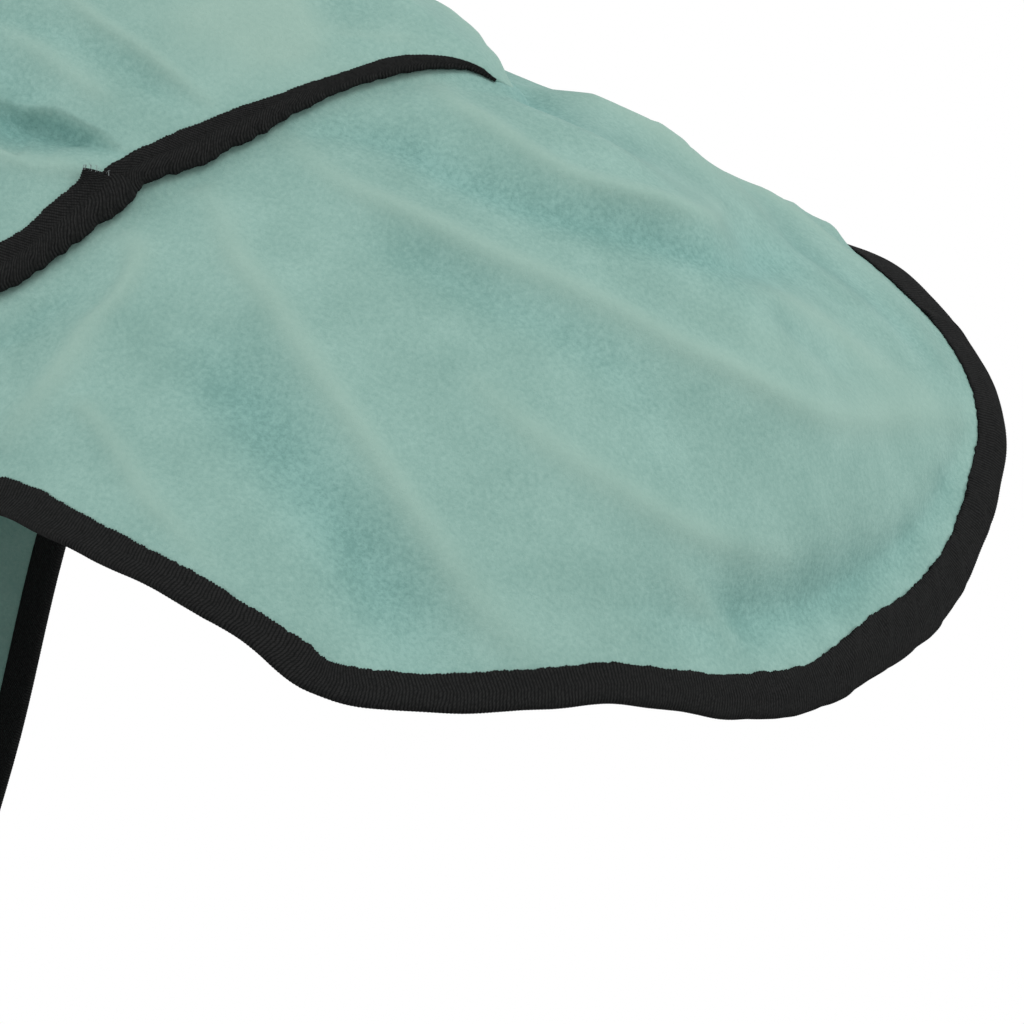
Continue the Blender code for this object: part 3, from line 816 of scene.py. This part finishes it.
rolledProfile = table(
    *stitchedEdge, (970, 1.3), (880, 1.4), (790, 1.2), (700, 1), (620, 0.7), (570, 0.6), (520, 1.2),
    (460, 2.2), (380, 3.1), (290, 3.6), (200, 3.6), (110, 3.1), (40, 2.3), (-0.7, 1.3), (-1.9, 0.2),
    (-2.2, -1.2), (-1.8, -2.6), (20, -3.7), (200, -4.1), (500, -4.1), (800, -4), *clothSide,
)
tapeShape = {
    "profile": flatProfile,
    "station": 0.004,           # steps along the edge at which the cloth is followed
    "marchReach": 0.032,        # how far in it is followed
    "depths": 8,                # and in how many steps
    "outerHeight": 0.0003,      # higher than this is the side that shows
    "underHeight": -0.0022,     # and lower than this the underside
    "underReach": 0.018,
    "thinWidth": 0.008,         # a tape narrower than this is thinner too
    "sunk": 0.0027,             # a tape that doesn't show lies this far down
    "tuckedIn": 0.0030,         # and this far in
    "cordRadius": 0.0032,
    "cordAcross": (0.46, 0.60), # its middle and half width, in shares of the way in
    "ribCells": 4,              # cells to one rib
    "ribDepth": 0.00018,
    "serration": 0.00035,       # at the stitched edge
    "foldRib": 0.00015,         # at the folded edge
    "slant": 0.0,               # how far the ribs lean on each side of the crease
    "crease": 0.5,
    "stitchedFrom": 0.93,       # the stitched edge starts at this share of the way in
    "edgeWaves": ((0.0006, 61, 1.7, 23), (0.0004, 173, 0, 0)),  # and wanders like this
    "wander": 1.0,
    "jitter": 0.00035,
    "seed": 3,
    # the place at each point of the edge, and what changes with it
    **dict.fromkeys(("places", "width", "shown", "ripple", "bulge", "lift", "skew", "cord")),
}


def evenly(points, step):  # a line of points read again at even steps
    lengths = fromStart(points)
    at = np.linspace(0, lengths[-1], max(int(round(lengths[-1] / step)), 2) + 1)
    return readPoints(at, lengths, points), at


def reference(points):  # a rough outward direction at each point
    front, rear, z = rug["core"]
    return points - np.stack(np.broadcast_arrays(np.clip(points[:, 0], front, rear), 0, z), axis=1)


def walkIn(stations, tangents, hints, tree, settings):  # in over the cloth, a line at a time
    lines, normals, heads = [stations], [], []
    for k in range(settings["depths"] + 1):
        found = [tree.find_nearest(Vector(point)) for point in lines[-1]]
        normals.append(unit(soften(np.array([hit[1] for hit in found]), 6)))
        if k:
            lines[-1] = np.array([hit[0] for hit in found])
        if k < settings["depths"]:
            inward = np.cross(normals[-1], tangents)
            heads.append(unit(inward * np.sign((inward * hints).sum(axis=1, keepdims=True))))
            lines.append(lines[-1] + heads[-1] * (settings["marchReach"] / settings["depths"]))
    lines, normals = np.array(lines), np.array(normals)
    normals *= np.where((normals[0] * reference(lines[0])).sum(axis=1) < 0, -1, 1)[None, :, None]
    return lines, normals, heads[0]


def layTape(name, edge, inwards, tree, material, node, shape):
    settings = {**tapeShape, **shape}
    stations, at = evenly(edge, settings["station"])
    hints = readPoints(np.linspace(0, 1, len(at)), np.linspace(0, 1, len(inwards)), inwards)
    tangents = soften(unit(np.gradient(stations, axis=0)), 6)
    lines, normals, head = walkIn(stations, tangents, hints, tree, settings)

    fine = np.linspace(0, at[-1], int(at[-1] / tapeSettings["pitch"] * settings["ribCells"]) + 1)
    lines = np.array([readPoints(fine, at, line) for line in lines])
    normals = np.array([unit(readPoints(fine, at, line)) for line in normals])
    head, ahead = unit(readPoints(fine, at, head)), readPoints(fine, at, tangents)
    run = fine[:, None]
    place = run
    if settings["places"] is not None:
        place = np.interp(run, fromStart(edge), settings["places"])
    shown = settings["shown"](place) if settings["shown"] else np.ones(place.shape)
    width = settings["width"](place) if settings["width"] else np.full(place.shape, rug["tape"])
    thin = np.clip(width / settings["thinWidth"], 0, 1)
    way, height = settings["profile"].T
    inside = np.clip(way, 0, 1)
    under = height < settings["underHeight"]
    outer = (height > settings["outerHeight"]) | (way < 0)

    # where each point of the profile lies on the cloth
    reachIn = np.where(under, inside * settings["underReach"] * thin, way * width)
    rough = np.random.default_rng(settings["seed"]).normal(size=len(fine))
    wander = swaying(place, settings["edgeWaves"]) * settings["wander"]
    wander = wander + settings["jitter"] * soften(rough, 5)[:, None]
    reachIn += ((way > settings["stitchedFrom"]) & ~under) * (wander * thin)
    spot = np.clip(reachIn / (settings["marchReach"] / settings["depths"]), 0, settings["depths"] - 0.001)
    i = spot.astype(int)
    f = (spot - i)[..., None]
    row = np.arange(len(fine))[:, None]
    points = lines[i, row] * (1 - f) + lines[i + 1, row] * f
    faces = unit(normals[i, row] * (1 - f) + normals[i + 1, row] * f)

    tall = height
    if settings["cord"]:                        # the roll closes to one round cord
        cord = settings["cord"](place)
        middle, half = settings["cordAcross"]
        arch = settings["cordRadius"] * np.sqrt(fading(((way - middle) / half) ** 2, 1)) + 0.0001
        tall = np.where((height > 0.0002) & (way > 0), height * (1 - cord) + arch * cord, height)
    slim = np.clip(width / rug["tape"], 0.1, 1) ** 0.6
    rise = np.where(tall > 0, tall * slim, tall * (0.6 + 0.4 * thin))
    sink = (1 - shown) * np.where(under, 0.8, 1)
    rise = rise * (1 - sink) - settings["sunk"] * sink

    # ribs, and the same ribs at both edges
    v = np.where(under, 1 + inside, 1 - inside)
    phase = run / tapeSettings["pitch"] + settings["slant"] * np.abs(v - settings["crease"])
    phase += 0.5 * np.sin(run * 37)
    wave = np.cos(2 * math.pi * phase) * (0.75 + 0.25 * np.sin(run * 419)) * outer * shown
    rise += settings["ribDepth"] * wave
    inward = unit(lines[-1] - lines[-2])
    points += inward[:, None, :] * ((way > 0.96) * settings["serration"] * wave)[..., None]
    nose = np.maximum(-way, 0) * (shown * (0.5 + 0.5 * thin)) - settings["tuckedIn"] * (1 - shown)
    nose += (way < 0.06) * settings["foldRib"] * wave
    if settings["bulge"]:
        nose += shown * settings["bulge"](place) * fading(inside, 0.7)
    points -= head[:, None, :] * nose[..., None]
    if settings["ripple"]:
        rise += settings["ripple"](place, way) * outer
    if settings["lift"]:
        rise += settings["lift"](place, way)
    points += faces * rise[..., None]
    if settings["skew"]:
        points += ahead[:, None, :] * settings["skew"](place, way)[..., None]
    piece = gridPiece(name, points, np.stack(np.broadcast_arrays(run, v), axis=-1), material, wrap=True)
    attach(piece, "root")
    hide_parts(node)
    print("tape", name, round(float(at[-1]), 3), "m", len(piece.data.polygons))
    return points


bodyTree = searchTree(bodyPoints)
flapTree = searchTree(flapPoints)

rearWidth = table(              # the way from the centre back, width that shows
    (0, 0.3), (3, 0.6), (9, 1.7), (20, 3.2), (30, 4.8), (40, 6.1), (50, 7), (60, 6.8), (71, 6.6),
    (82, 7.3), (93, 7.9), (103.5, 9.1), (114, 11.1), (124, 13.6), (135, 15.5), (147, 17.2), (158, 18.2),
    (171, 18.6), (184, 17.8), (194, 16.4), (203, 14.9), (212, 16), (217, 21), (238, 21.4), (249, 22),
    (265, 20.6), (280, 19.6), (310, 19), (335, 21.5), (400, 22), (500, 22.5), (900, 22.5),
)
lap = {                         # the raw end of the left rear tape
    "at": -0.575 * rug["seamShare"],    # the share of the way down, left below zero
    "over": 3,                  # lines of the sheet by which it passes the other length
    # sizes, and the distances from the end in which they fade
    "corner": (0.0042, 0.026),  # the raw corner reaches out
    "stand": (0.0040, 0.013),   # and stands up
    "lift": (0.0016, 0.030),    # the whole end rides up
    "skew": (0.0095, 0.040),    # it is cut askew by this much across the tape
    "gathered": 0.0162,         # the length underneath is no wider than this by the lap
    "gatheredFrom": -0.2,
}
lapLine, neckLeft, neckRight = lineAt(lap["at"]), lineAt(-rug["neckShare"]), lineAt(rug["neckShare"])
farStart = int(np.argmin(np.abs(rearAway - rearLay["farTape"])))
lowerEnd = lapLine + lap["over"]
rearLine, rearIn = bodyPoints[:, -1], bodyPoints[:, -5] - bodyPoints[:, -1]
frontLine, frontIn = bodyPoints[:, 0], bodyPoints[:, 3] - bodyPoints[:, 0]
frontIn[:2], frontIn[-2:] = frontIn[2], frontIn[-3]


def rearTapeWidth(away):
    return np.interp(np.abs(away), rearWidth[:, 0], rearWidth[:, 1])


def lapFade(key, away, power):
    size, distance = lap[key]
    return size * fading(rearAway[lowerEnd] - away, distance) ** power


def lapWidth(away):
    return rearTapeWidth(away) + lapFade("corner", away, 1.2)


def lapLift(away, way):  # the raw end rides up over the length below it
    corner = np.clip(way - 0.6, 0, 1) / 0.4
    return lapFade("lift", away, 1.5) * (way > -0.0001) + lapFade("stand", away, 1.2) * corner


def lapSkew(away, way):
    return lapFade("skew", away, 1.4) * (1 - np.clip(way, 0, 1) ** 2.2)


def upperWidth(away):
    return np.minimum(rearTapeWidth(away), np.where(away < lap["gatheredFrom"], lap["gathered"], 1))


def closing(away):  # towards the centre back the roll closes
    return smoothStep(*rearLay["closes"], np.abs(away))


def ropy(away):  # the rolled edge is lumpy
    even = 0.5 * smoothStep(0, 0.02, np.abs(away)) + 0.5 * smoothStep(0.06, 0.16, np.abs(away))
    return even * swaying(away, rearLay["lumps"])


plain = {"profile": plainProfile, "ribCells": 2.5}
rolled = {"profile": rolledProfile, "slant": 9.5, "crease": 0.45, "width": rearTapeWidth, "shown": shownShare,
          "bulge": ropy, "cord": closing, "ribDepth": 0.00012, "serration": 0.0003}


def layRear(name, node, cut, **changes):
    shape = {**rolled, "places": rearAway[cut], **changes}
    return layTape(name, rearLine[cut], rearIn[cut], bodyTree, rolledTape, node, shape)


for side, row, inRow in (("Left", 0, 4), ("Right", -1, -5)):
    layTape("hemTape" + side, bodyPoints[row], bodyPoints[inRow] - bodyPoints[row], bodyTree, flatTape,
            "hem_binding_" + side.lower(), plain)
for name, node, cut in (
        ("frontTapeLeft", "front_binding_left", slice(0, neckLeft + 1)),
        ("frontTapeRight", "front_binding_right", slice(neckRight, None)),
        ("neckTape", "neck_binding", slice(neckLeft, neckRight + 1))):
    layTape(name, frontLine[cut], frontIn[cut], bodyTree, flatTape, node, plain)
lowerRing = layRear("rearTapeLeftLower", "rear_binding_left_lower", slice(0, lowerEnd + 1),
                    lift=lapLift, width=lapWidth, skew=lapSkew)
layRear("rearTapeLeftUpper", "rear_binding_left_upper", slice(lapLine - 3, spineLine + 1),
        width=upperWidth, foldRib=0.00018, shown=None)
layRear("rearTapeRight", "rear_binding_right", slice(farStart, None),
        ribCells=2.5, bulge=None, foldRib=0.0001, cord=None)

fray = {
    "threads": 13,
    "thick": 0.00022,
    "long": (0.0014, 0.0038),
    # the threads are lighter than the black tape: a painted highlight at the raw end
    "colour": (0.20, 0.23, 0.23),
}


def frayedEnd(ring, before):  # loose threads at the tape's raw end
    random = np.random.default_rng(8)
    paint = newMaterial("frayedThread", {"Base Color": (*fray["colour"], 1), "Roughness": 0.9})[0]
    bm = bmesh.new()
    for n in range(fray["threads"]):
        spot = random.uniform(1.0, 8.0)
        k = int(spot)
        start = ring[k] * (k + 1 - spot) + ring[k + 1] * (spot - k)
        ahead = unit(ring[k] - before[k])
        aside = random.normal(size=3) * 0.35
        length = random.uniform(*fray["long"])
        middle = start + unit(ahead + aside) * length * 0.55
        tip = middle + unit(ahead + aside + random.normal(size=3) * 0.6) * length * 0.45
        rings = []
        for place, share in ((start - ahead * 0.001, 1.0), (middle, 0.9), (tip, 0.4)):
            corners = []
            for angle in (turn * 2 * math.pi / 3 for turn in range(3)):
                off = (math.cos(angle) * 0.7, math.sin(angle), math.cos(angle) * 0.7)
                corners.append(bm.verts.new(place + np.array(off) * fray["thick"] * share))
            rings.append(corners)
        for first, second in zip(rings, rings[1:]):
            for turn in range(3):
                bm.faces.new((first[turn], first[turn - 2], second[turn - 2], second[turn]))
        bm.faces.new(rings[0])
        bm.faces.new(rings[-1])
    bmesh.ops.recalc_face_normals(bm, faces=bm.faces)
    mesh = writeMesh(bm, bpy.data.meshes.new("lapThreads"))
    mesh.materials.append(paint)
    threads = addObject("lapThreads", mesh)
    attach(threads, "root")


frayedEnd(lowerRing[-1], lowerRing[-12])
print("lapped end ready")

# puckers round the tip: place, depth, length along the tape and how far they slant
puckers = table(
    (-145, 0.8, 6, 20), (-105, 1, 7, 22), (-60, 0.8, 6, 24), (-20, 1, 8, 22), (25, 0.8, 6, 20),
    (65, 1, 7, 18), (110, 0.9, 6, 18), (160, 0.8, 7, 16), (220, 0.6, 6, 14), (-330, 0.4, 6, 10),
    (-560, 0.5, 7, 8), (420, 0.6, 8, 10),
)
flapTapeWidth = table(          # place, width
    (-1000, 18.5), (-800, 18.5), (-700, 17), (-600, 15.8), (-520, 16), (-470, 17.5), (-300, 18.2),
    (-200, 19), (-140, 22.2), (-80, 22), (-20, 25.8), (40, 27), (100, 25.2), (170, 22), (240, 19.8),
    (320, 18.6), (400, 18.8), (460, 20.5), (520, 19), (600, 13.5), (700, 17), (1000, 18.5),
)
pucker = {                      # in a pucker's own depth and length
    "ridge": (1.3, 0.80),
    "groove": (0.9, 0.42),
    "scallop": (0.4, 1.3),      # how far the tape's edge is drawn in there
    "bump": (0.0020, -0.503, 0.012),    # one bump on the edge: metres, its place, metres
    "rimSpan": 0.72,            # metres along the tape for one unit of place
}


def flapPuckers(place, way):
    rise = 0
    for spot, depth, length, slant in puckers:
        away = (place - spot) * pucker["rimSpan"] - slant * (np.clip(way, 0, 1) - 0.5)
        ridge = pucker["ridge"][0] * hump(away, -length, pucker["ridge"][1] * length)
        groove = pucker["groove"][0] * hump(away, 0, pucker["groove"][1] * length)
        rise = rise + depth * (ridge - groove) * np.clip(way + 0.35, 0.2, 1)
    return rise


def flapScallops(place):
    rise = 0.0004 * np.sin(place * 95)
    draw, wide = pucker["scallop"]
    for spot, depth, length, slant in puckers:
        away = (place - spot) * pucker["rimSpan"] + slant * 0.5
        rise = rise - draw * depth * hump(away, 0, wide * length)
    size, at, width = pucker["bump"]
    return rise + size * hump((place - at) * pucker["rimSpan"], 0, width)


flapRim = fromStart(flapPoints[-1])
flapAlong = 2 * flapRim / flapRim[-1] - 1       # from one end of the tape (-1) to the other (1)
layTape("flapTape", flapPoints[-1], flapPoints[-6] - flapPoints[-1], flapTree, flatTape, "tail_flap_binding",
        {"places": flapAlong, "width": lambda at: readTable(flapTapeWidth, 1, at), "ripple": flapPuckers,
         "bulge": flapScallops, "ribDepth": 0.00006, "wander": 0.5, "jitter": 0.0005})

# the chest tabs, laid across the closed fronts

tabMesh = {
    "cellsAcross": 96,
    "cellsDown": 30,
    "thick": 0.002,
    "stitchIn": 0.005,          # stitching lies this far in from the outline
    "stitchWide": 0.0009,
    "stitchDent": 0.0004,
    "flat": 0.013,              # level up to here from the middle
    "gap": 0.0105,              # bridged from here to the middle, between the fronts
    "lifts": ((0.0, 0.014, 0.036, 0.046, 0.070), (0.0034, 0.0034, 0.0026, 0.0014, 0.0014)),
    "ahead": -1.3,              # the fronts are looked for from this x, up to the other
    "behind": -0.88,
}
# the top and bottom edges' heights at the middle, their slopes, and half lengths at top and bottom
chestTabs = (
    ("chestTabUpper", "chest_tab_upper", (-0.5090, -0.5432), (-0.150, -0.272), (0.0650, 0.0636)),
    ("chestTabLower", "chest_tab_lower", (-0.6118, -0.6496), (-0.540, -0.660), (0.0600, 0.0662)),
)
webbing = tapeMaterial("wovenWebbing", 6.0, 0.5)


def layTab(name, node, levels, slopes, halves):
    down = np.linspace(0, 1, tabMesh["cellsDown"] + 1)[None, :]
    across = np.linspace(-1, 1, tabMesh["cellsAcross"] + 1)[:, None]
    y = across * (halves[0] + (halves[1] - halves[0]) * down)
    beyond = np.maximum(np.abs(y) - tabMesh["flat"], 0)
    top, bottom = (level + slope * beyond for level, slope in zip(levels, slopes))
    z = top + (bottom - top) * down
    x = np.full(y.shape, np.nan)
    for spot in np.ndindex(y.shape):
        found = bodyTree.ray_cast(Vector((tabMesh["ahead"], y[spot], z[spot])), Vector((1, 0, 0)), 0.5)[0]
        if found is not None and found[0] < tabMesh["behind"]:
            x[spot] = found[0]
    for column in range(x.shape[1]):            # the gap between the fronts is bridged
        known = ~np.isnan(x[:, column]) & (np.abs(y[:, column]) > tabMesh["gap"])
        x[:, column] = np.interp(y[:, column], y[known, column], x[known, column])
    x = soften(soften(x, 24).T, 12).T
    points = np.stack((x, y, z), axis=-1)
    normals = sheetNormals(points)
    normals *= np.where(normals[..., :1] > 0, -1, 1)
    lift = np.interp(np.abs(y), *tabMesh["lifts"]) + tabMesh["thick"]
    toLevel = np.minimum(down, 1 - down) * (levels[0] - levels[1])
    toOutline = np.minimum((1 - np.abs(across)) * halves[0], toLevel)
    lift -= tabMesh["stitchDent"] * hump(toOutline, tabMesh["stitchIn"], tabMesh["stitchWide"])
    uv = np.stack(np.broadcast_arrays(y, down), axis=-1)
    tab = gridPiece(name, points + normals * lift[..., None], uv, webbing)
    if tab.data.polygons[0].normal.x > 0:
        tab.data.flip_normals()
    thicken(tab, tabMesh["thick"], even=False)
    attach(tab, "root")
    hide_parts(node)
    print(name, len(tab.data.polygons))


for tab in chestTabs:
    layTab(*tab)

for piece, node in ((body, "body"), (flap, "tail_flap")):
    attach(piece, "root")
    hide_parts(node)

# the studio

shot = {
    "azimuth": 30.0,
    "elevation": 18.0,
    "distance": 3.0,
    "lens": 210.94,
    "right": 0.0035,            # the aim, from the tail head
    "up": -0.217,
}
studio = {
    "floor": -1.5,
    "floorColour": (0.40, 0.40, 0.40, 1),
    "world": 0.69,
    # name, place, aim, size, power
    "lights": (
        ("overhead", (2.4, 0.0, 3.2), (0.75, -0.05, -0.25), 2.2, 50),
        ("right", (4.3, 0.8, 0.3), (0.75, 0.0, -0.3), 2.6, 44),
        ("front", (-1.6, -3.6, 0.4), (0.6, -0.1, -0.3), 2.6, 67),
    ),
}


def turnTo(direction):
    return direction.to_track_quat("-Z", "Y").to_euler()


def addCamera():
    a, e = math.radians(shot["azimuth"]), math.radians(shot["elevation"])
    right = Vector((math.cos(a), math.sin(a), 0))
    forward = Vector((-math.sin(a) * math.cos(e), math.cos(a) * math.cos(e), -math.sin(e)))
    up = right.cross(forward)
    data = bpy.data.cameras.new("camera")
    data.lens = shot["lens"]
    data.sensor_width = 36
    data.clip_end = 100
    camera = addObject("camera", data)
    aim = tailHead + right * shot["right"] + up * shot["up"]
    camera.location = aim - forward * shot["distance"]
    camera.rotation_euler = turnTo(forward)
    bpy.context.scene.camera = camera


def addLight(name, place, aim, size, power):
    data = bpy.data.lights.new(name, "AREA")
    data.energy = power
    data.shape = "DISK"
    data.size = size
    light = addObject(name, data)
    light.location = place
    light.rotation_euler = turnTo(Vector(aim) - Vector(place))


def addFloor():  # the camera sees it as plain white
    bm = bmesh.new()
    bmesh.ops.create_grid(bm, x_segments=1, y_segments=1, size=40)
    bmesh.ops.translate(bm, verts=bm.verts, vec=(0, 0, studio["floor"]))
    floor = addObject("floor", writeMesh(bm, bpy.data.meshes.new("floor")))
    dull = {"Base Color": studio["floorColour"], "Roughness": 1.0, "Specular IOR Level": 0.0}
    paint, tree = newMaterial("paleFloor", dull)[:2]
    nodes = paint.node_tree.nodes
    glow = inputs(tree.add("ShaderNodeEmission"), Strength=1.0)
    seen = tree.add("ShaderNodeLightPath")
    mix = tree.add("ShaderNodeMixShader")
    tree.link(seen.outputs["Is Camera Ray"], mix.inputs["Fac"])
    tree.link(nodes["Principled BSDF"].outputs["BSDF"], mix.inputs[1])
    tree.link(glow.outputs["Emission"], mix.inputs[2])
    tree.link(mix.outputs["Shader"], nodes["Material Output"].inputs["Surface"])
    floor.data.materials.append(paint)


def addWorld():
    world = bpy.data.worlds.new("studio")
    world.use_nodes = True
    inputs(world.node_tree.nodes["Background"], Color=(1, 1, 1, 1), Strength=studio["world"])
    bpy.context.scene.world = world


addCamera()
addWorld()
addFloor()
for light in studio["lights"]:
    addLight(*light)
bpy.context.scene.view_settings.view_transform = "Standard"
print("studio ready")
